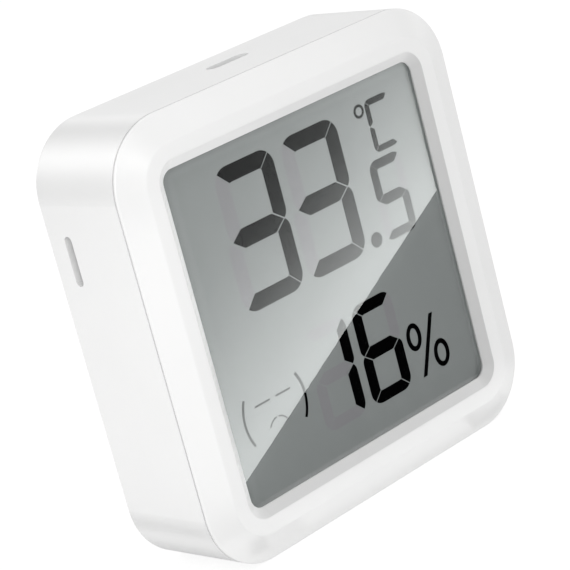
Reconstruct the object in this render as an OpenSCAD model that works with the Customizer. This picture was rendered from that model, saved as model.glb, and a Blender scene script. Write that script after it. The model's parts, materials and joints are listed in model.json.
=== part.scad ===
// Square indoor temperature and humidity sensor with a recessed segment display.
// It is drawn lying on its back: local Z runs from the rear face to the front face,
// and stand() then sets it upright on its lower edge with the display facing -Y.

/* [Case] */
// Width and height of the square case
body_w = 43; // [39:0.5:60]
// Depth from the rear face to the front face
body_d = 12.5; // [11.5:0.1:18]
// Corner radius of the case, seen from the front
corner_r = 6.4; // [5.8:0.1:9]
// Thickness of the side walls
wall_t = 1.5; // [1.2:0.1:2]
// Thickness of the rear wall
rear_t = 1.5; // [1.4:0.1:2]
// Rounding of the rear edge
rear_edge_r = 0.3; // [0.1:0.05:0.8]
// Width of the visible seam between bezel and housing
seam_w = 0.18; // [0.05:0.01:0.3]
// Depth of the visible seam
seam_in = 0.4; // [0.1:0.05:0.6]

/* [Bezel] */
// Height of the front face in front of the seam
bezel_rise = 1.25; // [1.1:0.05:2]
// Height of the upright edge at the seam
bezel_edge = 0.2; // [0.1:0.05:0.4]
// Width of the outer chamfer, seen from the front
chamfer_in = 2.7; // [2:0.1:3.4]
// Width of the flat front band
band_w = 1.5; // [1:0.1:2.2]
// Width of the bevel that runs down to the window
bevel_in = 0.95; // [0.6:0.01:1.3]
// Depth of that bevel below the front face
bevel_drop = 0.7; // [0.5:0.05:0.9]
// Upright edge of the window opening, under the bevel
window_land = 0.15; // [0.1:0.05:0.3]
// Rounding of the bezel's visible edges
edge_soft = 0.3; // [0.1:0.05:0.4]
// Thickness of the skirt that reaches into the housing
skirt_t = 0.9; // [0.7:0.05:1]
// Gap between skirt and housing wall
skirt_clear = 0.1; // [0.05:0.01:0.2]
// Gap between the skirt's end and the circuit board
skirt_end_gap = 0.3; // [0.1:0.1:0.8]
// Length of one snap hook
hook_l = 4; // [2:0.5:6]
// How far a snap hook stands out of the skirt
hook_out = 0.4; // [0.2:0.05:0.5]
// Height of a snap hook
hook_h = 0.9; // [0.6:0.1:1.2]
// Distance of each snap hook from the middle of its side
hook_off = 8; // [6:0.5:10]
// Gap around a snap hook in its pocket
hook_clear = 0.12; // [0.08:0.02:0.2]

/* [Vents] */
// Length of the side vent
side_vent_l = 4.8; // [3:0.1:7]
// Width of the side vent
side_vent_w = 1; // [0.6:0.05:1.6]
// Height of the side vent above the middle of the case
side_vent_up = 9.8; // [6:0.1:10.5]
// Height of the side vent's middle above the rear face
side_vent_h = 2.9; // [2.3:0.1:5]
// Length of the top vent
top_vent_l = 5; // [3:0.1:7]
// Width of the top vent
top_vent_w = 1.5; // [0.6:0.05:1.6]
// Sideways place of the top vent
top_vent_x = 0.4; // [-5:0.1:5]
// Height of the top vent's middle above the rear face
top_vent_h = 4.7; // [2.3:0.1:4.9]

/* [Window and display] */
// Thickness of the clear window
lens_t = 0.6; // [0.5:0.05:1]
// How far the window reaches behind the bezel on each side
lens_lap = 1.5; // [1.2:0.05:1.8]
// Gap around the window in its pocket
lens_clear = 0.12; // [0.05:0.01:0.2]
// Thickness of the adhesive frame in front of the window
tape_t = 0.1; // [0.05:0.01:0.2]
// Width of the adhesive frame
tape_w = 1; // [0.6:0.1:1.1]
// Thickness of the foam frame behind the window
gasket_t = 0.15; // [0.1:0.05:0.5]
// Width of the foam frame
gasket_w = 0.45; // [0.3:0.05:0.5]
// Thickness of the front polarizer
polarizer_t = 0.2; // [0.15:0.05:0.3]
// Thickness of each display glass
glass_t = 0.7; // [0.5:0.05:0.8]
// Thickness of the rear polarizer with its reflector
reflector_t = 0.25; // [0.15:0.05:0.35]
// How far the display reaches past the window opening at the top and sides
lcd_lap = 1.2; // [1:0.05:1.4]
// How far the rear glass reaches past the window opening at the bottom
ledge_lap = 0.5; // [0.3:0.05:0.7]
// Gap around the display in its holder
glass_clear = 0.1; // [0.05:0.01:0.15]
// Wall of the display holder below the contact ledge
holder_t = 0.6; // [0.4:0.05:0.7]
// Gap around the display holder, and between it and the window
holder_clear = 0.1; // [0.05:0.01:0.2]
// Width of the holder's shelf under the display
shelf_w = 1.5; // [1:0.1:2]
// Thickness of that shelf
shelf_t = 0.6; // [0.4:0.05:0.7]
// Thickness of the holder's legs, which stand on the circuit board
leg_t = 0.8; // [0.6:0.05:1]
// Diameter of the holder's locating pins
pin_d = 0.8; // [0.6:0.05:1]
// How far the contact strip's ends lie inside the width of the window opening
strip_in = 1.2; // [0.5:0.1:3]
// Gap around the contact strip
strip_clear = 0.12; // [0.05:0.01:0.2]

/* [Circuit board] */
// Thickness of the circuit board
board_t = 0.8; // [0.6:0.05:1]
// Gap around the circuit board
board_clear = 0.4; // [0.2:0.05:0.6]
// Diameter of a board screw's shank
screw_d = 1.4; // [1.2:0.1:1.8]
// Length of a board screw below its head
screw_l = 4.2; // [3:0.1:4.8]
// Diameter of a board screw's head
head_d = 2.6; // [2:0.1:3]
// Height of a board screw's head
head_t = 0.6; // [0.4:0.05:0.8]
// Gap around a screw shank in its post and in the board
screw_clear = 0.05; // [0.02:0.01:0.1]
// Diameter of a screw post
post_d = 3.8; // [3.2:0.1:4.4]
// Distance of a screw post's axis from the housing walls
post_in = 4.8; // [4.2:0.1:5.4]
// Side of the climate sensor
sensor_w = 2.5; // [2:0.1:3]
// Height of the climate sensor
sensor_t = 0.9; // [0.7:0.05:1.1]
// Distance of the climate sensor's middle from the housing wall
sensor_in = 3.4; // [3:0.1:4]
// Width of the slots that part the climate sensor from the board's heat
relief_w = 0.8; // [0.5:0.1:1]
// Side of the radio chip
radio_w = 4.8; // [4:0.1:6]
// Side of the display driver
driver_w = 5; // [4:0.1:6]
// Height of the chips
chip_t = 0.85; // [0.6:0.05:1]
// Gap between neighbouring chips
chip_gap = 0.6; // [0.4:0.05:1]
// Length of the crystal
crystal_l = 3.2; // [2.5:0.1:4]
// Width of the crystal
crystal_w = 2.5; // [2:0.1:3]
// Height of the crystal
crystal_t = 0.7; // [0.5:0.05:0.9]
// Length of a passive chip
passive_l = 1; // [0.8:0.1:1.6]
// Width of a passive chip
passive_w = 0.5; // [0.4:0.05:0.8]
// Height of a passive chip
passive_t = 0.35; // [0.2:0.05:0.5]
// Thickness of the copper antenna track
antenna_t = 0.05; // [0.03:0.01:0.1]
// Width of the antenna track
antenna_w = 0.5; // [0.3:0.05:0.6]
// Length of one run of the antenna track
antenna_run = 2.4; // [1.5:0.1:3]
// Distance between two runs of the antenna track
antenna_pitch = 1.1; // [0.9:0.05:1.3]

/* [Battery] */
// Diameter of the coin cell
cell_d = 20; // [18:0.1:20.5]
// Thickness of the coin cell
cell_t = 3.2; // [2.5:0.1:3.6]
// Gap around the coin cell in its well
cell_clear = 0.3; // [0.2:0.05:0.5]
// Wall of the battery well
well_t = 1; // [0.8:0.1:1.2]
// Height of the sprung negative contact between board and cell
contact_rise = 0.5; // [0.4:0.05:0.8]
// Thickness of the contact springs
contact_t = 0.2; // [0.1:0.05:0.25]
// Width of the contact springs
contact_w = 4; // [3:0.1:5]
// Thickness of the foam pad between door and cell
pad_t = 0.3; // [0.2:0.05:0.6]
// Diameter of the foam pad
pad_d = 12; // [8:0.5:15]

/* [Battery door] */
// How far the door opening is wider than the cell, on each side
open_lap = 0.8; // [0.5:0.05:1]
// Width of the door's lip outside the opening
lip_w = 1.4; // [1.2:0.05:1.6]
// Thickness of the door's lip
lip_t = 1; // [0.8:0.05:1.1]
// Running gap between door and housing
door_fit = 0.08; // [0.04:0.01:0.1]
// How far a bayonet lug reaches past the opening
lug_out = 1.1; // [0.7:0.05:1.15]
// Thickness of a bayonet lug
lug_t = 0.6; // [0.5:0.05:0.9]
// Angle that a bayonet lug spans
lug_angle = 24; // [16:1:25]
// Angle by which the door turns to unlock
door_turn = 30; // [28:1:40]
// Play of the lugs in their gates and at their stops, as an angle
lug_play = 2; // [1:0.5:3]
// Room around the lugs in their channel
channel_gap = 0.4; // [0.3:0.05:0.6]
// Length of the coin slot
coin_l = 13; // [9:0.5:16]
// Width of the coin slot
coin_w = 1.9; // [1.5:0.1:2.4]
// Depth of the coin slot
coin_d = 0.9; // [0.6:0.05:1.1]
// Diameter of the index dimples
dimple_d = 0.8; // [0.5:0.1:1]
// Depth of the index dimples
dimple_in = 0.2; // [0.1:0.05:0.3]

/* [Pairing button] */
// Diameter of the button's face
button_d = 3.2; // [2.6:0.1:3.8]
// How far the button's face sits below the rear face
button_sink = 0.2; // [0.1:0.05:0.4]
// Running gap around the button
button_fit = 0.08; // [0.04:0.01:0.1]
// Width of the collar that keeps the button in
collar_w = 0.5; // [0.3:0.05:0.6]
// Thickness of the collar
collar_t = 0.7; // [0.5:0.05:0.9]
// Gap between collar and rear wall
collar_gap = 0.05; // [0.03:0.01:0.1]
// Travel of the button
button_travel = 0.3; // [0.2:0.05:0.4]
// Side of the switch body
switch_w = 3.6; // [3.2:0.1:4.4]
// Height of the switch body
switch_t = 1.5; // [1.4:0.1:1.8]
// Diameter of the switch plunger
plunger_d = 2; // [1.6:0.1:2.4]
// How far the plunger reaches into the switch body
plunger_in = 0.5; // [0.3:0.05:0.7]
// How far the plunger stands out of the switch body
plunger_out = 1.8; // [1.4:0.1:2]

/* [Hidden] */
$fn = 96;
// Overshoot of cutting shapes past the faces that they cut
over = 0.2;

// Case, seen from the front: distances from the middle
half = body_w / 2;
cavity_half = half - wall_t;
skirt_out = cavity_half - skirt_clear;
skirt_in = skirt_out - skirt_t;
window_in = chamfer_in + band_w + bevel_in;
window_half = half - window_in;
lens_half = window_half + lens_lap;
pocket_half = lens_half + lens_clear;
polarizer_half = window_half + lcd_lap - glass_clear;
lcd_half = window_half + lcd_lap;
holder_half = skirt_in - holder_clear;
glass_low = holder_half - holder_t - glass_clear;
ledge_high = window_half + ledge_lap;
board_half = cavity_half - board_clear;
post_at = cavity_half - post_in;
leg_half = holder_half - leg_t;
pin_at = holder_half - leg_t / 2;
strip_half = window_half - strip_in;

// Heights above the rear face, front stack
seam_h = body_d - bezel_rise;
land_h = body_d - bevel_drop - window_land;
lens_top = land_h - tape_t;
lens_low = lens_top - lens_t;
pocket_low = lens_low - lens_clear;
polarizer_top = lens_low - gasket_t;
glass_top = polarizer_top - polarizer_t;
ledge_h = glass_top - glass_t;
reflector_top = ledge_h - glass_t;
lcd_low = reflector_top - reflector_t;

// Heights above the rear face, rear stack
lug_low = rear_t + door_fit;
door_top = lug_low + lug_t;
cell_low = door_top + pad_t;
cell_top = cell_low + cell_t;
board_low = cell_top + contact_rise;
board_top = board_low + board_t;
skirt_end = board_top + skirt_end_gap;
hook_low = skirt_end + hook_clear;

// Battery door and well: radii
cell_r = cell_d / 2;
well_r = cell_r + cell_clear;
open_r = cell_r + open_lap;
lip_r = open_r + lip_w;
lug_r = open_r + lug_out;
channel_r = lug_r + channel_gap;
channel_top = door_top + channel_gap;
well_top = board_low - contact_rise / 2;
lug_count = 3;

// Pairing button: midway between the battery well and the lower wall
button_y = -(channel_r + well_t + cavity_half) / 2;
collar_low = rear_t + collar_gap;
switch_low = board_low - switch_t;
plunger_tip = switch_low - plunger_out;

// Chips on the rear of the board, midway between the battery well and the board's edge
sensor_at = [-(cavity_half - sensor_in), side_vent_up];
chip_x = (well_r + well_t + board_half) / 2;
radio_at = [chip_x, 0];
driver_at = [-chip_x, -driver_w / 2];
crystal_at = [chip_x, radio_w / 2 + chip_gap + crystal_w / 2];
antenna_turns = 4;

function unit(v) = v / norm(v);
function short_way(a) = a > 180 ? a - 360 : a < -180 ? a + 360 : a;
function bearing(v) = atan2(v.y, v.x);

// Points of a fillet of radius r on the corner b between a and c
function fillet(a, b, c, r, steps = 4) =
    let (u = unit(a - b), v = unit(c - b), bend = acos(u * v) / 2)
    let (middle = b + unit(u + v) * r / sin(bend), reach = r / tan(bend))
    let (from = bearing(b + u * reach - middle))
    let (turn = short_way(bearing(b + v * reach - middle) - from))
    [for (i = [0 : steps]) middle + r * [cos(from + turn * i / steps), sin(from + turn * i / steps)]];

// Stands the case upright on its lower edge
module stand() {
    translate([0, body_d / 2, half]) rotate([90, 0, 0]) children();
}

// Square with round corners
module round_square(h, r) {
    square([2 * h, 2 * (h - r)], center = true);
    square([2 * (h - r), 2 * h], center = true);
    for (x = [-1, 1], y = [-1, 1]) translate([x * (h - r), y * (h - r)]) circle(r);
}

// Plate with the case's outline drawn in to half width h, between two heights
module case_plate(h, low, top) {
    translate([0, 0, low]) linear_extrude(top - low) round_square(h, corner_r - (half - h));
}

// Runs a section around the case: its x is minus the inset from the outer side, its y the height
module run_round() {
    for (side = [0 : 90 : 270]) rotate(side) {
        translate([half, 0, 0]) rotate([90, 0, 0])
            linear_extrude(2 * (half - corner_r), center = true) children();
        translate([half - corner_r, half - corner_r, 0])
            rotate_extrude(angle = 90) translate([corner_r, 0]) children();
    }
}

module box_between(low, high) {
    translate(low) cube(high - low);
}

// Layer of the display, with its corners ground to the case's outline and grown by grow all round
module lcd_plate(side, below, low, top, grow = 0) {
    intersection() {
        case_plate(glass_low + grow, low, top);
        box_between([-side - grow, -below - grow, low], [side + grow, side + grow, top]);
    }
}

// Disc or ring between two heights
module disc(r, low, top, hole = 0) {
    translate([0, 0, low]) difference() {
        cylinder(r = r, h = top - low);
        if (hole > 0) translate([0, 0, -over]) cylinder(r = hole, h = top - low + 2 * over);
    }
}

// Part of a ring from angle a over the angle span
module ring_part(inner, outer, low, top, a, span) {
    rotate(a) translate([0, 0, low]) rotate_extrude(angle = span)
        translate([inner, 0]) square([outer - inner, top - low]);
}

// Slot with round ends along X, centred, between two heights
module slot(length, width, low, top) {
    box_between([-(length - width) / 2, -width / 2, low], [(length - width) / 2, width / 2, top]);
    for (x = [-1, 1]) translate([x * (length - width) / 2, 0, 0]) disc(width / 2, low, top);
}

// Places its children at the four screw posts
module at_posts() {
    for (x = [-1, 1], y = [-1, 1]) translate([x * post_at, y * post_at, 0]) children();
}

// Two snap hooks, or pockets that are larger by grow, on each side of the case
module snap_hooks(grow) {
    face = grow > 0 ? cavity_half : skirt_out;
    tip = skirt_out + hook_out + grow;
    low = hook_low - grow;
    top = hook_low + hook_h + grow;
    for (side = [0 : 90 : 270], y = [-1, 1])
        rotate(side) translate([0, y * hook_off, 0]) rotate([90, 0, 0])
            linear_extrude(hook_l + 2 * grow, center = true)
                polygon([[face - over, low], [face, low], [tip, top - hook_h / 3],
                         [tip, top], [face - over, top]]);
}

module battery_well() {
    channel_out = channel_r + well_t;
    difference() {
        union() {
            disc(channel_out, rear_t, channel_top + well_t);
            disc(well_r + well_t, rear_t, well_top);
        }
        disc(channel_r, rear_t - over, channel_top);
        disc(well_r, rear_t, well_top + over);
        box_between([-contact_w / 2 - cell_clear, 0, channel_top + well_t],
                    [contact_w / 2 + cell_clear, channel_out, well_top + over]);
    }
    // Stops on both sides of the first lug
    stop = lug_angle / 2 + lug_play;
    for (a = [stop, -door_turn - stop - lug_play])
        ring_part(open_r + lug_out / 2, channel_r + well_t / 2, rear_t, channel_top, a, lug_play);
}

module door_opening() {
    disc(lip_r + door_fit, -over, lip_t + door_fit);
    disc(open_r, -over, rear_t + over);
    gate = lug_angle + 2 * lug_play;
    for (i = [0 : lug_count - 1]) rotate(i * 360 / lug_count - door_turn)
        ring_part(open_r - over, lug_r + door_fit, 0, rear_t + over, -gate / 2, gate);
}

module vents() {
    translate([-half - over, side_vent_up, side_vent_h]) rotate([90, 0, 90])
        slot(side_vent_l, side_vent_w, 0, wall_t + 2 * over);
    translate([top_vent_x, half + over, top_vent_h]) rotate([90, 0, 0])
        slot(top_vent_l, top_vent_w, 0, wall_t + 2 * over);
}

// Index dimple at a radius and angle on the rear face
module dimple(r, a) {
    rotate(a) translate([r, 0, 0]) disc(dimple_d / 2, -over, dimple_in);
}

module rear_housing() {
    color("white") stand() difference() {
        union() {
            difference() {
                case_plate(half, 0, seam_h);
                case_plate(cavity_half, rear_t, seam_h + over);
            }
            battery_well();
            at_posts() disc(post_d / 2, rear_t, board_low);
        }
        door_opening();
        vents();
        snap_hooks(hook_clear);
        at_posts() disc(screw_d / 2 + screw_clear, board_top - screw_l - over, board_low + over);
        translate([0, button_y, 0]) disc(button_d / 2 + button_fit, -over, rear_t + over);
        for (a = [0, -door_turn]) dimple(lip_r + 2 * dimple_d, a + 90);
        run_round() polygon([[over, seam_h - seam_w], [-seam_in, seam_h - seam_w],
                             [-seam_in, seam_h + over], [over, seam_h + over]]);
        run_round() polygon(concat([[over, -over]],
            fillet([-corner_r, 0], [0, 0], [0, corner_r], rear_edge_r), [[over, rear_edge_r]],
            [[over, -over]]));
    }
}

module front_bezel() {
    seam = [0, seam_h];
    edge = [0, seam_h + bezel_edge];
    crest = [-chamfer_in, body_d];
    brink = crest - [band_w, 0];
    sill = [-window_in, body_d - bevel_drop];
    section = concat(
        [seam],
        fillet(seam, edge, crest, edge_soft / 2),
        fillet(edge, crest, brink, 2 * edge_soft),
        fillet(crest, brink, sill, edge_soft),
        [sill, [sill.x, land_h]],
        [[pocket_half - half, land_h], [pocket_half - half, pocket_low]],
        [[skirt_in - half, pocket_low], [skirt_in - half, skirt_end]],
        [[skirt_out - half, skirt_end], [skirt_out - half, seam_h]]
    );
    color("white") stand() {
        run_round() polygon(section);
        snap_hooks(0);
    }
}

module display_window() {
    color("lightcyan", 0.3) stand() case_plate(lens_half, lens_low, lens_top);
}

module window_tape() {
    color("whitesmoke") stand() difference() {
        case_plate(lens_half, lens_top, land_h);
        case_plate(lens_half - tape_w, lens_top - over, land_h + over);
    }
}

module dust_gasket() {
    color("gainsboro") stand() difference() {
        case_plate(polarizer_half, polarizer_top, lens_low);
        case_plate(polarizer_half - gasket_w, polarizer_top - over, lens_low + over);
    }
}

module front_polarizer() {
    color("darkgray") stand() lcd_plate(polarizer_half, polarizer_half, glass_top, polarizer_top);
}

module lcd_front_glass() {
    color("lightsteelblue", 0.5) stand() lcd_plate(lcd_half, glass_low, ledge_h, glass_top);
}

module lcd_rear_glass() {
    color("lightsteelblue", 0.5) stand() lcd_plate(lcd_half, ledge_high, reflector_top, ledge_h);
}

module lcd_reflector() {
    color("silver") stand() lcd_plate(polarizer_half, window_half, lcd_low, reflector_top);
}

// Space of the contact strip, larger by gap on its long sides and ends
module strip_space(gap, low, top) {
    box_between([-strip_half - gap, -glass_low + strip_clear - gap, low],
                [strip_half + gap, -ledge_high - strip_clear + gap, top]);
}

module lcd_holder() {
    holder_top = pocket_low - holder_clear;
    shelf_half = lcd_half - shelf_w;
    shelf_edge = shelf_w - ledge_high;
    leg_edge = leg_t - ledge_high;
    color("whitesmoke") stand() {
        difference() {
            case_plate(holder_half, board_top, holder_top);
            box_between([-shelf_half, shelf_edge, board_top - over], [shelf_half, shelf_half, holder_top]);
            intersection() {
                case_plate(leg_half, board_top - over, lcd_low - shelf_t);
                box_between([-half, leg_edge, board_top - over], [half, half, lcd_low - shelf_t]);
            }
            lcd_plate(lcd_half, ledge_high, lcd_low, holder_top + over, glass_clear);
            lcd_plate(lcd_half, glass_low, ledge_h, holder_top + over, glass_clear);
            strip_space(strip_clear, board_top - over, holder_top);
            at_posts() disc(head_d / 2 + glass_clear, board_top - over, board_top + head_t + glass_clear);
        }
        for (x = [-1, 1]) translate([x * pin_at, 0, 0]) disc(pin_d / 2, board_low, board_top);
    }
}

module contact_strip() {
    color("dimgray") stand() strip_space(0, board_top, ledge_h);
}

// Slots around three sides of the climate sensor
module sensor_relief() {
    reach = sensor_w / 2 + relief_w;
    translate([sensor_at.x, sensor_at.y, 0]) {
        for (y = [-1, 1]) translate([0, y * reach, 0])
            slot(sensor_w + relief_w, relief_w, board_low - over, board_top + over);
        translate([reach, 0, 0]) rotate(90)
            slot(sensor_w, relief_w, board_low - over, board_top + over);
    }
}

module circuit_board() {
    color("seagreen") stand() difference() {
        case_plate(board_half, board_low, board_top);
        at_posts() disc(screw_d / 2 + screw_clear, board_low - over, board_top + over);
        for (x = [-1, 1]) translate([x * pin_at, 0, 0])
            disc(pin_d / 2 + screw_clear, board_low - over, board_top + over);
        sensor_relief();
    }
}

module board_screws() {
    drive_w = head_d / 10;
    drive_l = head_d / 3;
    drive_low = board_top + head_t / 2;
    color("silver") stand() at_posts() difference() {
        union() {
            disc(screw_d / 2, board_top - screw_l, board_top);
            disc(head_d / 2, board_top, board_top + head_t);
        }
        for (a = [0, 90]) rotate(a)
            box_between([-drive_l, -drive_w, drive_low], [drive_l, drive_w, board_top + head_t + over]);
    }
}

// Flat chip of width w, length l and height t on the rear of the board
module chip(at, w, l, t) {
    box_between([at.x - w / 2, at.y - l / 2, board_low - t], [at.x + w / 2, at.y + l / 2, board_low]);
}

module climate_sensor() {
    port = sensor_w / 5;
    color("dimgray") stand() difference() {
        chip(sensor_at, sensor_w, sensor_w, sensor_t);
        translate([sensor_at.x, sensor_at.y, 0])
            disc(port, board_low - sensor_t - over, board_low - sensor_t / 2);
    }
}

module radio_chip() {
    color("black") stand() chip(radio_at, radio_w, radio_w, chip_t);
}

module display_driver() {
    color("black") stand() chip(driver_at, driver_w, driver_w, chip_t);
}

module crystal() {
    color("silver") stand() chip(crystal_at, crystal_l, crystal_w, crystal_t);
}

module chip_passives() {
    radio_row = -radio_w / 2 - chip_gap - passive_l / 2;
    driver_row = chip_gap + passive_l / 2;
    color("tan") stand() for (i = [-1 : 1]) {
        step = i * (passive_w + chip_gap);
        chip([chip_x + step, radio_row], passive_w, passive_l, passive_t);
        chip([-chip_x + step, driver_row], passive_w, passive_l, passive_t);
    }
}

// Meandering copper track near the upper edge of the board
module board_antenna() {
    low = board_low - antenna_t;
    top_edge = board_half - antenna_w;
    left = post_at - post_d / 2 - antenna_w - antenna_turns * 2 * antenna_pitch;
    color("peru") stand() for (i = [0 : 2 * antenna_turns - 1]) {
        x = left + i * antenna_pitch;
        y = i % 2 == 0 ? top_edge : top_edge - antenna_run;
        box_between([x, top_edge - antenna_run, low], [x + antenna_w, top_edge, board_low]);
        box_between([x, y - antenna_w / 2, low],
                    [x + antenna_pitch + antenna_w, y + antenna_w / 2, board_low]);
    }
}

module coin_cell() {
    rim = cell_t / 10;
    cap_r = cell_r - cell_t / 3;
    can = [[0, cell_low], [cell_r, cell_low], [cell_r, cell_top - rim]];
    color("silver") stand() rotate_extrude() polygon(concat(
        [can[0]],
        fillet(can[0], can[1], can[2], rim),
        fillet(can[1], can[2], [cap_r, cell_top - rim], rim / 2),
        [[cap_r, cell_top - rim], [cap_r, cell_top], [0, cell_top]]
    ));
}

// Strip on the board with two arms that bend to the cell's negative face
module negative_contact() {
    foot = cell_r / 4;
    arm = cell_r / 2;
    tip = cell_r / 8;
    low = board_low - contact_t;
    section = [
        [-foot, board_low], [-foot, low], [foot, low],
        [foot + arm, cell_top], [foot + arm + tip, cell_top],
        [foot + arm + tip, cell_top + contact_t], [foot + arm, cell_top + contact_t],
        [foot, board_low]
    ];
    color("gold") stand() for (turn = [0, 180]) rotate(turn)
        rotate([90, 0, 0]) linear_extrude(contact_w, center = true) polygon(section);
}

// Upright spring beside the cell, with a foot on the board
module positive_contact() {
    near = cell_r;
    far = near + contact_t;
    foot = far + well_t + cell_clear;
    low = channel_top + well_t + cell_clear;
    color("gold") stand() {
        box_between([-contact_w / 2, near, low], [contact_w / 2, far, board_low]);
        box_between([-contact_w / 2, near, board_low - contact_t], [contact_w / 2, foot, board_low]);
    }
}

module battery_door() {
    color("white") stand() difference() {
        union() {
            disc(lip_r, 0, lip_t);
            disc(open_r - door_fit, 0, door_top);
            for (i = [0 : lug_count - 1]) rotate(i * 360 / lug_count)
                ring_part(open_r - lug_out, lug_r, lug_low, door_top, -lug_angle / 2, lug_angle);
        }
        slot(coin_l, coin_w, -over, coin_d);
        dimple(lip_r - 1.5 * dimple_d, 90);
    }
}

module cell_pad() {
    color("dimgray") stand() disc(pad_d / 2, door_top, cell_low);
}

module tact_switch() {
    color("dimgray") stand() translate([0, button_y, 0]) difference() {
        box_between([-switch_w / 2, -switch_w / 2, switch_low], [switch_w / 2, switch_w / 2, board_low]);
        disc(plunger_d / 2 + button_fit, switch_low - over,
             switch_low + plunger_in + button_travel + button_fit);
    }
}

module switch_plunger() {
    color("black") stand() translate([0, button_y, 0])
        disc(plunger_d / 2, plunger_tip, switch_low + plunger_in);
}

module pairing_button() {
    color("white") stand() translate([0, button_y, 0]) {
        disc(button_d / 2, button_sink, collar_low);
        disc(button_d / 2 + collar_w, collar_low, collar_low + collar_t);
        disc(plunger_d / 2, collar_low + collar_t, plunger_tip);
    }
}

rear_housing();
front_bezel();
display_window();
window_tape();
dust_gasket();
front_polarizer();
lcd_front_glass();
lcd_rear_glass();
lcd_reflector();
lcd_holder();
contact_strip();
circuit_board();
board_screws();
climate_sensor();
radio_chip();
display_driver();
crystal();
chip_passives();
board_antenna();
coin_cell();
negative_contact();
positive_contact();
battery_door();
cell_pad();
tact_switch();
switch_plunger();
pairing_button();
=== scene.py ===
import json
import math

import bmesh
import bpy
from mathutils import Matrix, Quaternion, Vector


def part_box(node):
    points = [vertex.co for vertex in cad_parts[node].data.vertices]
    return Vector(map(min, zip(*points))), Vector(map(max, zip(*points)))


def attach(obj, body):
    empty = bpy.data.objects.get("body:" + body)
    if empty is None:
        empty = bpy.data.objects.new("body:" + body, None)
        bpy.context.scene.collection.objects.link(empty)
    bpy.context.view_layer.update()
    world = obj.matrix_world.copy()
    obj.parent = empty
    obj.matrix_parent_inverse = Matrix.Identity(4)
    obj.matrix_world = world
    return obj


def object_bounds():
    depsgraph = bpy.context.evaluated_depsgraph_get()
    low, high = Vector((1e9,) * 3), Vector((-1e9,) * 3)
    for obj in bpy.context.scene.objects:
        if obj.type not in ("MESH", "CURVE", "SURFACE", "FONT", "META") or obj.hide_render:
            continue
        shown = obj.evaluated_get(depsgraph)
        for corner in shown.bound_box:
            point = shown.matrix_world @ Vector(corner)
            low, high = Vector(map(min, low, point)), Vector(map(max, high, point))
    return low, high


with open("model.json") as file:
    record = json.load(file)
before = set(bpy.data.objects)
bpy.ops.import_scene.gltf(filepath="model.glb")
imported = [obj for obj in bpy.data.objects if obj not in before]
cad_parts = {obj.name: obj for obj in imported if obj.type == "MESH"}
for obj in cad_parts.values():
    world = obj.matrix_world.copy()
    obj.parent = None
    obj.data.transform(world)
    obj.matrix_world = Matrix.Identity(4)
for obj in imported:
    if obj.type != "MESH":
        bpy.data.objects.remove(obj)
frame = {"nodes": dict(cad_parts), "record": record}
cad_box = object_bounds()
nodes = frame["nodes"]

MM = 0.001
WHITE = (1, 1, 1, 1)
MIDDLE_Z = (cad_box[0].z + cad_box[1].z) / 2
FIELD_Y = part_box("front_polarizer")[0].y
WINDOW_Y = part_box("display_window")[0].y / MM


def in_scene(name, data):
    """A new object of the scene."""
    obj = bpy.data.objects.new(name, data)
    bpy.context.scene.collection.objects.link(obj)
    return obj


# Node trees

class Nodes:
    """A node tree, with helpers that add nodes to it; their values are sockets or plain values."""

    def __init__(self, tree):
        self.tree = tree

    def add(self, kind, inputs=None, **settings):
        """A new node; its inputs have their name or number as key."""
        node = self.tree.nodes.new(kind)
        for key, value in settings.items():
            setattr(node, key, value)
        for key, value in (inputs or {}).items():
            if isinstance(value, bpy.types.NodeSocket):
                self.tree.links.new(value, node.inputs[key])
            else:
                node.inputs[key].default_value = value
        return node

    def maths(self, operation, *values):
        return self.add("ShaderNodeMath", dict(enumerate(values)), operation=operation).outputs[0]

    def parts(self, vector):
        """The x, y and z of a vector."""
        return self.add("ShaderNodeSeparateXYZ", {0: vector}).outputs

    def spread(self, value, low, high, start=0.3, end=0.7):
        """Low to high, while a value goes from start to end."""
        inputs = {"Value": value, "From Min": start, "From Max": end, "To Min": low, "To Max": high}
        return self.add("ShaderNodeMapRange", inputs).outputs["Result"]


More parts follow.
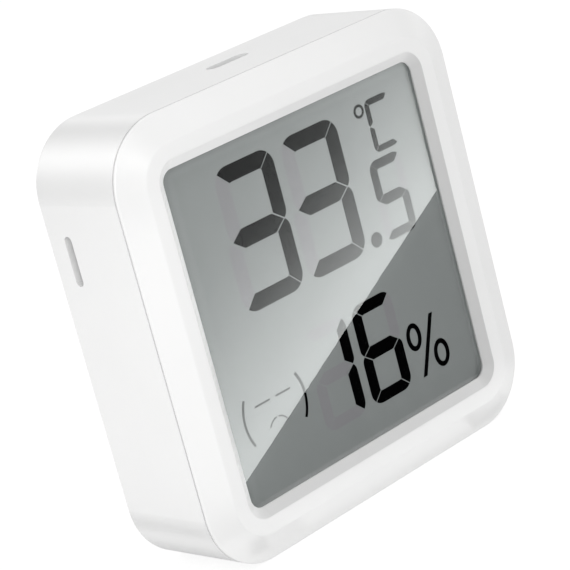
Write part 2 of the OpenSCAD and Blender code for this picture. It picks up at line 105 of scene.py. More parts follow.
class Shader(Nodes):
    """The nodes of a material around one Principled shader, kept in materials under its name."""

    def __init__(self, name, **sockets):
        material = bpy.data.materials.new(name)
        material.use_nodes = True
        materials[name] = material
        super().__init__(material.node_tree)
        self.bsdf = next(n for n in self.tree.nodes if n.type == "BSDF_PRINCIPLED")
        for key, value in sockets.items():
            self.bsdf.inputs[key.replace("_", " ")].default_value = value
        coordinates = self.add("ShaderNodeTexCoord").outputs
        self.place = coordinates["Object"]
        self.facing = coordinates["Normal"]

    def mapped(self, stretch=(1, 1, 1), turn=(0, 0, 0)):
        inputs = {"Vector": self.place, "Scale": stretch, "Rotation": turn}
        return self.add("ShaderNodeMapping", inputs).outputs["Vector"]

    def noise(self, scale, detail=3.0, vector=None):
        inputs = {"Vector": vector or self.place, "Scale": scale, "Detail": detail}
        return self.add("ShaderNodeTexNoise", inputs).outputs["Fac"]

    def ramp(self, value, first, last, start, end):
        """The colour first up to start, last from end on, and a blend between."""
        node = self.add("ShaderNodeValToRGB", {"Fac": value})
        for element, at, colour in zip(node.color_ramp.elements, (start, end), (first, last)):
            element.position = at
            element.color = (*colour, 1)
        return node.outputs["Color"]

    def tones(self, value, colour, dark, pale, start=0.3, end=0.7):
        """A colour times dark to pale, while a value goes from start to end."""
        return self.ramp(value, shade(colour, dark), shade(colour, pale), start, end)

    def scaled(self, colour, level):
        inputs = {0: colour, "Scale": level}
        return self.add("ShaderNodeVectorMath", inputs, operation="SCALE").outputs[0]

    def colour(self, socket):
        self.tree.links.new(socket, self.bsdf.inputs["Base Color"])

    def rough(self, socket):
        self.tree.links.new(socket, self.bsdf.inputs["Roughness"])

    def bump(self, height, strength, depth):
        """Bump of a depth in mm."""
        node = self.add("ShaderNodeBump", {"Height": height, "Strength": strength, "Distance": depth * MM})
        self.tree.links.new(node.outputs["Normal"], self.bsdf.inputs["Normal"])


def shade(colour, factor):
    return tuple(c * factor for c in colour)


# Kinds of material: rough is the lowest and highest roughness, and texture scales are per metre

materials = {}


def moulded(name, colour, rough, grain=3500, depth=0.004, strength=0.15, ior=1.5, tint=None):
    """Moulded plastic: fine eroded grain, faint flow marks in the colour and the shine."""
    s = Shader(name, IOR=ior)
    flow = s.noise(scale=90, detail=2.0)
    fine = s.noise(scale=grain, detail=4.0)
    base = s.tones(flow, colour, dark=0.985, pale=1.01)
    s.colour(tint(s, base) if tint else base)
    s.rough(s.spread(fine, *rough))
    s.bump(fine, strength, depth)


def metal(name, colour, rough, stretch=(1, 1, 1), grain=900):
    """Brushed or rolled metal: streaks in the colour and the shine, thin along the stretched axis."""
    s = Shader(name, Metallic=1.0)
    streaks = s.noise(scale=grain, detail=5.0, vector=s.mapped(stretch))
    s.colour(s.tones(streaks, colour, dark=0.8, pale=1.08, start=0.25, end=0.75))
    s.rough(s.spread(streaks, *rough))
    s.bump(streaks, strength=0.2, depth=0.004)


def foam(name, colour):
    """Closed cells with darker middles."""
    s = Shader(name)
    cells = s.add("ShaderNodeTexVoronoi", {"Vector": s.place, "Scale": 4200}).outputs["Distance"]
    s.colour(s.tones(cells, colour, dark=0.6, pale=1.05, start=0.0, end=0.6))
    s.rough(s.spread(cells, 0.75, 0.95, start=0.0, end=0.8))
    s.bump(cells, strength=0.6, depth=0.05)


def clear(name, colour, ior):
    """Clear polished sheet with a hardly visible cloudiness."""
    s = Shader(name, Transmission_Weight=1.0, IOR=ior, Roughness=0.0)
    s.colour(s.tones(s.noise(scale=160), colour, dark=0.985, pale=1.0, start=0.35, end=0.65))


def film(name, colour, rough, shine=0.5, tint=None):
    """Smooth film with faint rolling streaks."""
    s = Shader(name, Specular_IOR_Level=shine)
    streaks = s.noise(scale=300, vector=s.mapped(stretch=(1, 1, 0.08)))
    base = s.tones(streaks, colour, dark=0.985, pale=1.012)
    s.colour(tint(s, base) if tint else base)
    s.rough(s.spread(streaks, *rough))


def ink(name, colour):
    """Dark segments of the display, with a slight grain."""
    s = Shader(name, Specular_IOR_Level=0.0)
    grain = s.noise(scale=2600)
    s.colour(s.tones(grain, colour, dark=0.9, pale=1.1))
    s.rough(s.spread(grain, 0.5, 0.7))


def solder_mask(name):
    """Green solder mask over tracks."""
    s = Shader(name, Coat_Weight=0.3)
    tracks = s.add("ShaderNodeTexBrick", {
        "Vector": s.mapped(turn=(math.pi / 2, 0, 0)),
        "Scale": 420,
        "Mortar Size": 0.03,
        "Color1": (0.02, 0.13, 0.06, 1),
        "Color2": (0.03, 0.17, 0.08, 1),
        "Mortar": (0.06, 0.27, 0.13, 1),
    }, offset=0.37, squash=1.6, squash_frequency=3)
    s.colour(tracks.outputs["Color"])
    s.rough(s.spread(s.noise(scale=1200), 0.3, 0.45))
    s.bump(tracks.outputs["Fac"], strength=0.3, depth=0.02)


def layered_rubber(name, dark, pale):
    """Elastomer connector: thin dark and pale layers along its length."""
    s = Shader(name)
    waves = s.add("ShaderNodeTexWave", {"Vector": s.place, "Scale": 1600}, bands_direction="X")
    layers = waves.outputs["Fac"]
    s.colour(s.ramp(layers, dark, pale, start=0.4, end=0.6))
    s.rough(s.spread(s.noise(scale=2000), 0.6, 0.8))
    s.bump(layers, strength=0.3, depth=0.02)


# Tints: painted shade and painted light in the colour of the case and the display

CORNER_CENTRE = 15.1 * MM  # of the case's corner rounds, across and up from the middle of the front
BEVEL_OUT = 2.17 * MM  # from there to the outer edge of the bevel round the window
# Painted shade on the bevel: its level, and how it changes with the direction the bevel faces
BEVEL_SHADE_LEVEL = 0.905
BEVEL_SHADE_ACROSS, BEVEL_SHADE_UP = 0.38, -0.16  # changes of that level with the normal's x and z
SEAM_Y, SEAM_HALF = -4.91 * MM, 0.095 * MM
SEAM_TOP = 20.3 * MM  # above the middle
# How much darker the painted shade makes the seam on top
SEAM_SHADE = 0.14
# Painted light on the display's rim, where the bezel shades it: how far out from the middle the film begins
# to be paler, and how fast, to the left, right and top
RIM_PAINTED_LIGHT = (14.4 * MM, 0.16 / MM), (16.0 * MM, 0.3 / MM), (15.1 * MM, 0.25 / MM)


def past_corner_centres(s):
    """Distance outwards from the square that joins the centres of the case's corner rounds."""
    x, _, z = s.parts(s.place)
    squares = []
    for offset in (x, s.maths("SUBTRACT", z, MIDDLE_Z)):
        past = s.maths("SUBTRACT", s.maths("ABSOLUTE", offset), CORNER_CENTRE)
        squares.append(s.maths("POWER", s.maths("MAXIMUM", past, 0), 2))
    return s.maths("SQRT", s.maths("ADD", *squares))


def bevel_painted_shade(s, base):
    """Painted shade on the bevel round the window, greyer by the direction it faces, most on the sides that
    face left and up.
    """
    normal_x, _, normal_z = s.parts(s.facing)
    across = s.maths("MULTIPLY", normal_x, BEVEL_SHADE_ACROSS)
    up = s.maths("MULTIPLY", normal_z, BEVEL_SHADE_UP)
    level = s.maths("ADD", BEVEL_SHADE_LEVEL, s.maths("ADD", across, up))
    on_bevel = s.maths("LESS_THAN", past_corner_centres(s), BEVEL_OUT)
    change = s.maths("MULTIPLY", on_bevel, s.maths("SUBTRACT", level, 1))
    return s.scaled(base, s.maths("ADD", 1, change))


def seam_painted_shade(s, base):
    """Painted shade in the seam between bezel and housing, on top: a darker line in the groove."""
    _, y, z = s.parts(s.place)
    in_seam = s.maths("LESS_THAN", s.maths("ABSOLUTE", s.maths("SUBTRACT", y, SEAM_Y)), SEAM_HALF)
    on_top = s.maths("GREATER_THAN", z, MIDDLE_Z + SEAM_TOP)
    seam_darkening = s.maths("MULTIPLY", s.maths("MULTIPLY", in_seam, on_top), SEAM_SHADE)
    return s.scaled(base, s.maths("SUBTRACT", 1, seam_darkening))


def rim_painted_light(s, base):
    """Painted light on the film towards the left, right and upper rim of the display, where the bezel shades
    it.
    """
    x, _, z = s.parts(s.place)
    sides = s.maths("MULTIPLY", x, -1), x, s.maths("SUBTRACT", z, MIDDLE_Z)
    level = 1
    for side, (start, lift) in zip(sides, RIM_PAINTED_LIGHT):
        past = s.maths("MAXIMUM", s.maths("SUBTRACT", side, start), 0)
        level = s.maths("ADD", level, s.maths("MULTIPLY", past, lift))
    return s.scaled(base, level)


# Materials of the slots

CASE = (0.86, 0.86, 0.857)
CASE_FINISH = {"rough": (0.285, 0.33), "strength": 0.05, "ior": 1.8}
CHIP_FINISH = {"depth": 0.01, "strength": 0.3}
FIELD = (0.251, 0.269, 0.265)
FIELD_FINISH = {"rough": (0.12, 0.2), "shine": 1.0}
GHOST_TINT = (0.966, 0.90, 0.95)

# The housing gets painted shade in the seam on top
moulded("case_white", CASE, tint=seam_painted_shade, **CASE_FINISH)
# The bezel's bevel gets painted shade, greyer by the direction it faces
moulded("bezel_white", CASE, tint=bevel_painted_shade, **CASE_FINISH)
moulded("holder_white", (0.70, 0.70, 0.67), rough=(0.4, 0.55))
moulded("chip_black", (0.012, 0.012, 0.014), rough=(0.45, 0.62), grain=5200, **CHIP_FINISH)
moulded("switch_black", (0.02, 0.02, 0.022), rough=(0.4, 0.55))
moulded("passive_tan", (0.30, 0.19, 0.10), rough=(0.4, 0.6), grain=6000, **CHIP_FINISH)
clear("window_clear", (1.0, 1.0, 1.0), ior=1.49)
clear("display_glass", (0.93, 0.97, 0.96), ior=1.52)
film("tape_white", (0.78, 0.78, 0.77), rough=(0.55, 0.75))
# The display field gets painted light towards its rim, against the bezel's shade
film("display_field", FIELD, tint=rim_painted_light, **FIELD_FINISH)
film("reflector_silver", (0.48, 0.49, 0.48), rough=(0.25, 0.4))
foam("foam_grey", (0.35, 0.35, 0.35))
foam("foam_white", (0.80, 0.80, 0.79))
layered_rubber("strip_rubber", dark=(0.02, 0.02, 0.022), pale=(0.30, 0.28, 0.27))
solder_mask("board_green")
metal("screw_steel", (0.55, 0.55, 0.54), rough=(0.25, 0.45), grain=1500)
metal("can_steel", (0.62, 0.60, 0.55), rough=(0.2, 0.35), stretch=(20, 1, 1))
metal("track_copper", (0.62, 0.30, 0.14), rough=(0.3, 0.5), grain=2500)
metal("contact_nickel", (0.66, 0.62, 0.50), rough=(0.2, 0.4), stretch=(1, 1, 25))
metal("cell_steel", (0.62, 0.62, 0.61), rough=(0.22, 0.38), stretch=(25, 1, 1))
ink("segment_ink", (0.001, 0.001, 0.0011))
film("ghost_ink", tuple(c * g for c, g in zip(FIELD, GHOST_TINT)), **FIELD_FINISH)

slot_of = {p["node"]: p["material_slot"] for p in frame["record"]["subparts"]}
for name, node in nodes.items():
    node.data.materials.clear()
    node.data.materials.append(materials[slot_of[name]])
nodes["front_bezel"].data.materials[0] = materials["bezel_white"]

# The window casts no shadow, diffuse light misses it and the frames behind it,
# and what is seen through it leaves the bezel out
nodes["display_window"].visible_shadow = False
for name in ("display_window", "window_tape", "dust_gasket"):
    nodes[name].visible_diffuse = False
nodes["front_bezel"].visible_transmission = False


# Outlines of the display's marks, in mm from the middle of the display, as seen on the window's face

def arc(centre, r, start, end, steps=10):
    cx, cy = centre
    turn = [math.radians(start + (end - start) * i / steps) for i in range(steps + 1)]
    return [Vector((cx + r * math.cos(a), cy + r * math.sin(a))) for a in turn]


def arc_through(a, b, c, steps=16):
    """Points on the arc from a through b to c."""
    (ax, ay), (bx, by), (cx, cy) = a, b, c
    d = 2 * (ax * (by - cy) + bx * (cy - ay) + cx * (ay - by))
    sa, sb, sc = ax * ax + ay * ay, bx * bx + by * by, cx * cx + cy * cy
    ux = (sa * (by - cy) + sb * (cy - ay) + sc * (ay - by)) / d
    uy = (sa * (cx - bx) + sb * (ax - cx) + sc * (bx - ax)) / d
    first = math.degrees(math.atan2(ay - uy, ax - ux))
    last = math.degrees(math.atan2(cy - uy, cx - ux))
    sweep = (last - first + 180) % 360 - 180
    return arc((ux, uy), math.hypot(ax - ux, ay - uy), first, first + sweep, steps)


def oval(centre, rx, ry, steps=48):
    cx, cy = centre
    turn = [2 * math.pi * i / steps for i in range(steps)]
    return [Vector((cx + rx * math.cos(a), cy + ry * math.sin(a))) for a in turn]


def ring(centre, rx, ry, width):
    """Outer and inner loop of an oval ring."""
    return oval(centre, rx, ry), oval(centre, rx - width, ry - width)


def stroke(path, width):
    """A band of even width along a path."""
    sides = ([], [])
    for i, p in enumerate(path):
        along = (path[min(i + 1, len(path) - 1)] - path[max(i - 1, 0)]).normalized()
        across = Vector((-along.y, along.x)) * width / 2
        sides[0].append(p + across)
        sides[1].append(p - across)
    return sides[0] + sides[1][::-1]


def rectangle(left, right, low, high):
    return [Vector(c) for c in ((left, low), (right, low), (right, high), (left, high))]


def cut(loop, point, inward, keep_off):
    """The part of a loop that lies at least keep_off inside the line through point."""
    inward = inward.normalized()
    depth = [(p - point).dot(inward) - keep_off for p in loop]
    kept = []
    for i, p in enumerate(loop):
        j = (i + 1) % len(loop)
        if depth[i] >= 0:
            kept.append(p)
        if depth[i] * depth[j] < 0:
            kept.append(p.lerp(loop[j], depth[i] / (depth[i] - depth[j])))
    return kept


class Digit:
    """Seven segments a to g with round outer corners, mitred joints and tapered tips.

    Left, right, top and low are its outer edges, mid is the height of segment g, and lean moves the left
    edge out at the bottom. In the methods, side is -1 for left and 1 for right, and end is -1 for low
    and 1 for top.
    """

    LEVELS = {"a": 1, "d": -1}
    UPRIGHTS = {"b": (1, 1), "c": (1, -1), "e": (-1, -1), "f": (-1, 1)}
    CORNER_ANGLES = {(1, 1): 45, (-1, 1): 135, (-1, -1): 225, (1, -1): 315}
    # Shares of the upright segments' width
    INNER_ROUND, TIP_ROUND, TIP_IN, WAIST_IN = 0.2, 0.7, 0.265, 0.36
    TIP_SLOPE = math.tan(math.radians(36))

    def __init__(self, left, right, top, low, mid, upright_w, level_h, waist_h, round_r, gap=0.1, lean=0):
        self.left, self.right, self.lean = left, right, lean
        self.top, self.low, self.mid = top, low, mid
        self.upright_w, self.level_h, self.waist_h = upright_w, level_h, waist_h
        self.round_r, self.gap = round_r, gap
        self.inner_r = self.INNER_ROUND * upright_w

    def edge(self, side, end):
        """The x of the outer edge at a corner."""
        if side > 0:
            return self.right
        return self.left if end > 0 else self.left - self.lean

    def corner(self, side, end):
        """Centres of a corner's outer and inner arc, and the angle at which the mitre crosses them."""
        x = self.edge(side, end)
        y = self.top if end > 0 else self.low
        outer = Vector((x - side * self.round_r, y - end * self.round_r))
        inner = Vector((x - side * (self.upright_w + self.inner_r), y - end * (self.level_h + self.inner_r)))
        return outer, inner, self.CORNER_ANGLES[side, end]

    def mitred(self, loop, side, end, kept):
        """A loop cut half a gap off a corner's mitre line, on the side that kept points to."""
        outer, inner, angle = self.corner(side, end)
        on_outer = arc(outer, self.round_r, angle, angle)[0]
        on_inner = arc(inner, self.inner_r, angle, angle)[0]
        line = on_outer - on_inner
        normal = Vector((-line.y, line.x))
        return cut(loop, on_outer, normal if normal.dot(kept) > 0 else -normal, self.gap / 2)

    def level(self, end):
        """Segments a and d."""
        loop = []
        for side in (-end, end):
            outer, _, angle = self.corner(side, end)
            loop += arc(outer, self.round_r, angle + 45, angle - 45)
        for side in (end, -end):
            _, inner, angle = self.corner(side, end)
            loop += arc(inner, self.inner_r, angle - 45, angle + 45, steps=4)
        for side in (-1, 1):
            loop = self.mitred(loop, side, end, Vector((-side, 0)))
        return loop

    def upright(self, side, end):
        """Segments b, c, e and f."""
        x = self.edge(side, end)
        outer, inner, _ = self.corner(side, end)
        tip_r, tip_in = self.TIP_ROUND * self.upright_w, self.TIP_IN * self.upright_w
        tip_y = self.mid + end * self.gap / 2
        bend = math.acos(1 - tip_in / tip_r)
        tip_centre = x - side * tip_r, tip_y + end * tip_r * math.sin(bend)
        rise = (self.upright_w - tip_in) * self.TIP_SLOPE
        face = 0 if side > 0 else 180
        turn = end * side
        loop = arc(outer, self.round_r, face + 90 * turn, face)
        loop += arc(tip_centre, tip_r, face, face - math.degrees(bend) * turn, steps=6)
        loop += [Vector((x - side * self.upright_w, tip_y + end * rise))]
        loop += arc(inner, self.inner_r, face, face + 90 * turn, steps=4)
        return self.mitred(loop, side, end, Vector((0, -end)))

    def waist(self):
        """Segment g."""
        half = self.waist_h / 2
        tip_in = self.WAIST_IN * self.upright_w
        left, right = self.left - self.lean / 2 + tip_in, self.right - tip_in
        back = half / self.TIP_SLOPE
        lean = self.lean * half / (self.top - self.low)
        points = ((left, 0), (left + back + lean, half), (right - back, half),
                  (right, 0), (right - back, -half), (left + back - lean, -half))
        return [Vector((x, self.mid + y)) for x, y in points]

    def segment(self, name):
        if name in self.LEVELS:
            return self.level(self.LEVELS[name])
        if name in self.UPRIGHTS:
            return self.upright(*self.UPRIGHTS[name])
        return self.waist()

    def segments(self, names):
        return [self.segment(name) for name in names]


# Marks of the display

# The window bends the view, so what lies behind it is drawn a little to the right and lower
SEEN_SCALE = 1.0061
SEEN_SHIFT = Vector((0.555, -0.178))
INK_T = 0.02 * MM
GHOST_T = 0.002 * MM


def glyph(name, loops, rings=(), material="segment_ink", height=INK_T):
    """Thin raised marks on the front face of the display; rings are pairs of outer and inner loops."""
    bm = bmesh.new()

    def vertex(point):
        seen = point * SEEN_SCALE + SEEN_SHIFT
        return bm.verts.new((seen.x * MM, FIELD_Y, MIDDLE_Z + seen.y * MM))

    for loop in loops:
        bm.faces.new([vertex(p) for p in loop])
    for outer_loop, inner_loop in rings:
        outer = [vertex(p) for p in outer_loop]
        inner = [vertex(p) for p in inner_loop]
        for i in range(len(outer)):
            j = (i + 1) % len(outer)
            bm.faces.new((outer[i], outer[j], inner[j], inner[i]))
    made = bmesh.ops.extrude_face_region(bm, geom=bm.faces[:])
    moved = [e for e in made["geom"] if isinstance(e, bmesh.types.BMVert)]
    bmesh.ops.translate(bm, verts=moved, vec=(0, -height, 0))
    bmesh.ops.recalc_face_normals(bm, faces=bm.faces[:])
    mesh = bpy.data.meshes.new(name)
    bm.to_mesh(mesh)
    bm.free()
    obj = in_scene(name, mesh)
    mesh.materials.append(materials[material])
    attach(obj, "case")


def temperature_digit(dx):
    return Digit(left=-10.68 + dx, right=-3.26 + dx, top=14.34, low=0.68, mid=7.48,
                 upright_w=1.62, level_h=1.58, waist_h=1.82, round_r=1.7, lean=0.46)


def humidity_digit(dx):
    return Digit(left=1.136 + dx, right=6.648 + dx, top=-3.466, low=-13.5, mid=-8.466,
                 upright_w=1.25, level_h=1.16, waist_h=1.33, round_r=1.3)


tens, units = temperature_digit(0), temperature_digit(8.5)
tenths = Digit(left=7.986, right=12.298, top=8.582, low=0.645, mid=4.625,
               upright_w=0.95, level_h=0.9, waist_h=1.06, round_r=1.0, gap=0.04)
humidity_tens, humidity_units = humidity_digit(-6.455), humidity_digit(0)
letter = Digit(left=9.338, right=12.6, top=14.3, low=9.123, mid=11.72,
               upright_w=0.59, level_h=0.59, waist_h=0.6, round_r=0.66, gap=0.06)

glyph("temperature_tens", tens.segments("abgcd"))
glyph("temperature_units", units.segments("abgcd"))
glyph("temperature_tenths", tenths.segments("afgcd"))
glyph("decimal_point", [oval((6.695, 1.411), rx=0.74, ry=0.74, steps=36)])
glyph("degree_sign", letter.segments("afed"), [ring((8.489, 13.59), rx=0.672, ry=0.672, width=0.26)])
glyph("humidity_tens", humidity_tens.segments("bc"))
glyph("humidity_units", humidity_units.segments("afgecd"))

slash = [Vector(c) for c in ((8.239, -13.41), (8.773, -13.41), (11.386, -7.784), (10.852, -7.784))]
percent_rings = [ring((8.261, -9.205), rx=1.0, ry=1.4, width=0.49),
                 ring((11.364, -12.02), rx=1.05, ry=1.41, width=0.49)]
glyph("percent_sign", [slash], percent_rings)

EYE_Y = -7.455
MOUTH_HALF = 12  # steps from an end of the mouth to its middle, where it has a gap
left_cheek = arc_through((-14.006, -6.364), (-14.568, -8.523), (-14.006, -10.82))
right_cheek = arc_through((-7.364, -6.39), (-6.76, -8.58), (-7.335, -10.82))
eyes = [[Vector((x, EYE_Y)) for x in ends] for ends in ((-12.93, -11.0), (-10.24, -8.34))]
mouth = arc_through((-11.76, -10.0), (-10.625, -9.34), (-9.52, -10.06), steps=2 * MOUTH_HALF)
face = [stroke(left_cheek, width=0.26), stroke(right_cheek, width=0.30)]
face += [stroke(eye, width=0.18) for eye in eyes]
face += [stroke(half, width=0.16) for half in (mouth[:MOUTH_HALF], mouth[MOUTH_HALF + 1:])]
glyph("comfort_face", face)

unlit = tens.segments("fe") + units.segments("fe") + tenths.segments("be")
unlit += humidity_tens.segments("aged") + humidity_units.segments("b")
glyph("ghost_segments", unlit, material="ghost_ink", height=GHOST_T)


# Floor

FLOOR_HALF = 4.0
FLOOR_BOUNCE = (0.8, 0.8, 0.8, 1)
FLOOR_SHADED = (0.2, 0.2, 0.2, 1)  # the share of the seen floor that shadows darken
FLOOR_GLOW = 0.86


def plane(name, corners, material):
    """A flat piece of the stage."""
    mesh = bpy.data.meshes.new(name)
    mesh.from_pydata([Vector(c) for c in corners], [], [list(range(len(corners)))])
    obj = in_scene(name, mesh)
    mesh.materials.append(material)
    return obj


def stage_material(name):
    """A new material that isn't sampled as a light, and its empty node tree."""
    material = bpy.data.materials.new(name)
    material.use_nodes = True
    material.cycles.emission_sampling = "NONE"
    material.node_tree.nodes.clear()
    return material, Nodes(material.node_tree)


def surface(s, shader):
    """Ends a material's tree with its shader."""
    s.add("ShaderNodeOutputMaterial", {"Surface": shader})


def seen_directly(s):
    """1 for rays that show the background: camera, glossy and transmission rays."""
    path = s.add("ShaderNodeLightPath").outputs
    seen = s.maths("MAXIMUM", path["Is Camera Ray"], path["Is Glossy Ray"])
    return s.maths("MAXIMUM", seen, path["Is Transmission Ray"])


def floor_material():
    """Nearly white where it is seen, with the object's shadow, and a plain pale floor for the light."""
    material, s = stage_material("floor")
    bounce = s.add("ShaderNodeBsdfDiffuse", {"Color": FLOOR_BOUNCE}).outputs[0]
    shaded = s.add("ShaderNodeBsdfDiffuse", {"Color": FLOOR_SHADED}).outputs[0]
    glow = s.add("ShaderNodeEmission", {"Strength": FLOOR_GLOW}).outputs[0]
    seen = s.add("ShaderNodeAddShader", {0: shaded, 1: glow}).outputs[0]
    surface(s, s.add("ShaderNodeMixShader", {"Fac": seen_directly(s), 1: bounce, 2: seen}).outputs[0])
    return material


plane("floor", [(x, y, 0) for x, y in rectangle(-FLOOR_HALF, FLOOR_HALF, -FLOOR_HALF, FLOOR_HALF)],
      floor_material())


# Soft box and cards in front of the window, in mm, placed by the points of its face that mirror them

CAMERA = Vector((-145.4, -170.73, 83.47))
CARD_Y, DARK_Y = -14.5, -15.5
WINDOW_HALF = 16.35
DARK_AREA = -16.5, 16.5, -16.3, 16.5  # left, right, low, high
GLARE_EDGE = Vector((-16.117, -13.473)), Vector((16.395, 3.195))
GLARE_TINT = (0.985, 1.02, 1.01, 1)
GLARE_WIDTH = 160
# Distance in mm from the edge, and strength
GLARE_STOPS = (0, 6.6), (1.6, 5.8), (5.2, 3.5), (10.5, 1.24), (13, 0.6), (16, 0.15), (20, 0)
INNER_STOPS = (0, 0.9), (5, 1.33), (10.5, 1.4), (12.6, 1.25), (16, 1.07), (21, 0.75), (26, 0.55), (31, 0.4)
INNER_SLACK, INNER_MARGIN = 0.43, 12


def on_card(point, card_y=CARD_Y):
    """Where the camera's view of a point of the window's face, mirrored there, meets a card."""
    seen = Vector((point[0], WINDOW_Y, MIDDLE_Z / MM + point[1]))
    far = 1 + (WINDOW_Y - card_y) / (WINDOW_Y - CAMERA.y)
    met = CAMERA + (seen - CAMERA) * far
    return Vector((met.x, card_y, met.z)) * MM


def card(name, corners, material, glossy=True, transmission=False):
    """A plane without shadow that only glossy or transmission rays meet."""
    obj = plane(name, corners, material)
    obj.visible_camera = False
    obj.visible_diffuse = False
    obj.visible_shadow = False
    obj.visible_glossy = glossy
    obj.visible_transmission = transmission
    return obj


def only_on(obj, *names):
    """Light linking: the light of obj falls on these nodes alone."""
    group = bpy.data.collections.new(obj.name)
    for name in names:
        group.objects.link(nodes[name])
    obj.light_linking.receiver_collection = group


def emission_curve(s, value, stops, colour=WHITE):
    """Emission whose strength follows a value along straight lines between the stops."""
    low, high = stops[0][0], stops[-1][0]
    peak = max(strength for _, strength in stops)
    curve = s.add("ShaderNodeFloatCurve", {"Value": s.spread(value, 0, 1, low, high)})
    points = curve.mapping.curves[0].points
    while len(points) < len(stops):
        points.new(0.5, 0.5)
    for point, (at, strength) in zip(points, stops):
        point.location = ((at - low) / (high - low), strength / peak)
        point.handle_type = "VECTOR"
    curve.mapping.update()
    level = s.maths("MULTIPLY", curve.outputs[0], peak)
    return s.add("ShaderNodeEmission", {"Color": colour, "Strength": level}).outputs[0]


def edge_axes(start, end):
    """Directions along an edge of a card, and away from it."""
    along = (end - start).normalized()
    return along, Vector((-along.z, 0, along.x))


def edge_glow(s, start, end, stops):
    """Emission that follows the distance in mm from an edge of a card."""
    _, away = edge_axes(start, end)
    place = s.add("ShaderNodeNewGeometry").outputs["Position"]
    product = s.add("ShaderNodeVectorMath", {0: place, 1: away / MM}, operation="DOT_PRODUCT")
    distance = s.maths("SUBTRACT", product.outputs["Value"], start.dot(away) / MM)
    return emission_curve(s, distance, stops, GLARE_TINT)


def glare_lamp():
    """Soft box with a slanted lower edge, which the window's face mirrors."""
    start, end = [on_card(p) for p in GLARE_EDGE]
    along, away = edge_axes(start, end)
    depth = GLARE_STOPS[-1][0] * MM
    light = bpy.data.lights.new("glare_lamp", "AREA")
    light.shape = "RECTANGLE"
    light.size = GLARE_WIDTH * MM
    light.size_y = depth
    light.energy = math.pi * light.size * light.size_y
    light.use_nodes = True
    s = Nodes(light.node_tree)
    s.tree.nodes.clear()
    s.add("ShaderNodeOutputLight", {"Surface": edge_glow(s, start, end, GLARE_STOPS)})
    obj = in_scene("glare_lamp", light)
    middle = (start + end) / 2 + away * depth / 2
    obj.matrix_world = Matrix.Translation(middle) @ Matrix((along, away, (0, -1, 0))).transposed().to_4x4()
    obj.visible_camera = False
    obj.visible_diffuse = False
    obj.visible_transmission = False
    only_on(obj, "display_window")


def inner_glare_card():
    """Bright card behind the same edge, moved outwards by a slack, for what is seen through the window."""
    first, last = GLARE_EDGE
    away = Vector((first.y - last.y, last.x - first.x)).normalized()
    half = WINDOW_HALF + INNER_MARGIN
    face = cut(rectangle(-half, half, -half, half), first, away, -INNER_SLACK)
    start, end = [on_card(p - away * INNER_SLACK) for p in GLARE_EDGE]
    material, s = stage_material("inner_glare_card")
    surface(s, edge_glow(s, start, end, INNER_STOPS))
    corners = [on_card(p) for p in face]
    obj = card("inner_glare_card", corners, material, glossy=False, transmission=True)
    only_on(obj, "display_window", "front_polarizer")


def dark_card():
    """Unlit card behind the soft box, so that the rest of the window mirrors nothing."""
    material, s = stage_material("dark_card")
    surface(s, s.add("ShaderNodeBsdfDiffuse", {"Color": (0, 0, 0, 1)}).outputs[0])
    card("dark_card", [on_card(p, DARK_Y) for p in rectangle(*DARK_AREA)], material, transmission=True)


glare_lamp()
inner_glare_card()
dark_card()


# Cards in mm that only show in gloss: cards brighten it, and flags are dim or dark

CASE_NODES = "rear_housing", "front_bezel", "battery_door", "pairing_button"
BACK_Y, FRONT_Y, UPRIGHT_Y, FLOOR_Z = 180, -17.5, -15.8, 0.15
BACK_AREA = -400, 360, 0.5, 420  # left, right, low, high
FRONT_AREA = -70, 70, 0.5, 100
FRONT_LEVEL = 0.5
FAN_MIDDLE = Vector((-19, BACK_Y, 38))
# Degrees from upright towards the left, and strength
FAN_STOPS = ((-110, 0.8), (-67, 0.82), (-50, 1.45), (-30, 0.1), (-12, 0), (5, 0.75), (28, 2.1), (45, 1.6),
             (60, 0.5), (72, 0), (104, 0), (112, 1))
# Strength, left, right, low, high
UPRIGHT_CARDS = {
    "left_card": (0.9, -26, -9, 3.5, 33),
    "low_flag": (0, -26, -17, 0.3, 3.5),
    "corner_card": (1.6, -19.3, -16.3, 40.6, 44),
    "corner_flag": (0, -15.3, -8.5, 43.2, 58),
    "side_flag": (0, -26, -18.8, 32, 40.3),
    "far_card": (1.6, 44, 62, 32, 60),
    "top_flag": (0.2, 22, 41, 40, 60),
    "far_flag": (0.3, 66, 150, 20, 60),
}
# Strength, left, right, front, back
FLOOR_CARDS = {
    "floor_card": (1.3, -150, -31.5, 0, 120),
    "right_flag": (0.8, 30, 190, -60, 15),
    "left_flag": (0, -28.5, -23.5, -5, 20),
    "under_flag": (0.65, -20.5, -17.5, -5, 12),
    "front_card_low": (1.6, -10, 28, -17, -6),
    "front_flag": (0, -24, -16, -24, -10.5),
    "toe_flag": (0, -17.3, -15, -8.2, -6.3),
    "right_toe_flag": (0.3, 13.5, 21, -7.6, -5.6),
}


def upright(area, y):
    """Corners of an upright card."""
    return [Vector((x, y, z)) * MM for x, z in rectangle(*area)]


def fan_material(name, middle, stops):
    """Emission that follows the angle round a point of an upright card."""
    material, s = stage_material(name)
    place = s.add("ShaderNodeTexCoord").outputs["Object"]
    arm = s.add("ShaderNodeVectorMath", {0: place, 1: middle * MM}, operation="SUBTRACT").outputs[0]
    x, _, z = s.parts(arm)
    angle = s.maths("ARCTAN2", s.maths("MULTIPLY", x, -1), z)
    surface(s, emission_curve(s, angle, [(math.radians(d), v) for d, v in stops]))
    return material


def even_material(name, level):
    """The same emission all over a card."""
    material, s = stage_material(name)
    surface(s, s.add("ShaderNodeEmission", {"Strength": level}).outputs[0])
    return material


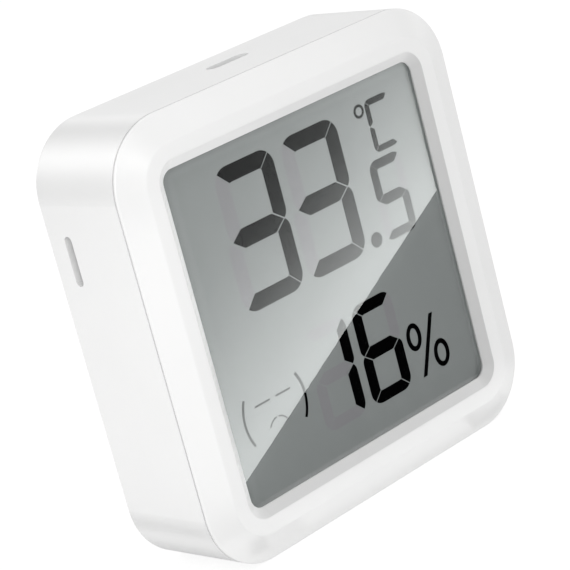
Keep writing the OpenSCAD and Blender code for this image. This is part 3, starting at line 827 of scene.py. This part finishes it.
card("back_card", upright(BACK_AREA, BACK_Y), fan_material("back_card", FAN_MIDDLE, FAN_STOPS))
front_card = card("front_card", upright(FRONT_AREA, FRONT_Y), even_material("front_card", FRONT_LEVEL))
only_on(front_card, *CASE_NODES)
for name, (level, *area) in UPRIGHT_CARDS.items():
    only_on(card(name, upright(area, UPRIGHT_Y), even_material(name, level)), *CASE_NODES)
for name, (level, *area) in FLOOR_CARDS.items():
    card(name, [Vector((x, y, FLOOR_Z)) * MM for x, y in rectangle(*area)], even_material(name, level))


# Lamps and world

LAMP_TARGET = Vector((0, 0, 0.02))
WORLD_LIGHT = 0.857


def lamp(name, place, size, power):
    """A soft round lamp that faces the object."""
    light = bpy.data.lights.new(name, "AREA")
    light.shape = "DISK"
    light.size = size
    light.energy = power
    obj = in_scene(name, light)
    obj.location = place
    obj.rotation_euler = (LAMP_TARGET - Vector(place)).to_track_quat("-Z", "Y").to_euler()
    return obj


lamp("key", (-0.20, -0.20, 0.10), size=0.15, power=0.208)
lamp("fill", (-0.12, -0.27, 0.15), size=0.15, power=0.058)
lamp("rear_fill", (0.12, 0.31, 0.03), size=0.12, power=0.15).visible_glossy = False

world = bpy.data.worlds.new("studio")
world.use_nodes = True
bpy.context.scene.world = world
background = next(n for n in world.node_tree.nodes if n.type == "BACKGROUND")
background.inputs["Color"].default_value = WHITE
sky = Nodes(world.node_tree)
sky_level = sky.spread(seen_directly(sky), WORLD_LIGHT, 1.0, start=0, end=1)
world.node_tree.links.new(sky_level, background.inputs["Strength"])


# Camera

CAMERA_TARGET = Vector((-1.141, 0, 21.243))
CAMERA_ROLL = math.radians(-14.917)

camera = bpy.data.cameras.new("camera")
camera.lens = 154.64
camera.sensor_width = 36
camera.clip_start = 0.005
camera.clip_end = 20
eye = in_scene("camera", camera)
turn = (CAMERA_TARGET - CAMERA).to_track_quat("-Z", "Y") @ Quaternion((0, 0, 1), CAMERA_ROLL)
eye.matrix_world = Matrix.Translation(CAMERA * MM) @ turn.to_matrix().to_4x4()
bpy.context.scene.camera = eye

bpy.context.scene.view_settings.view_transform = "Standard"
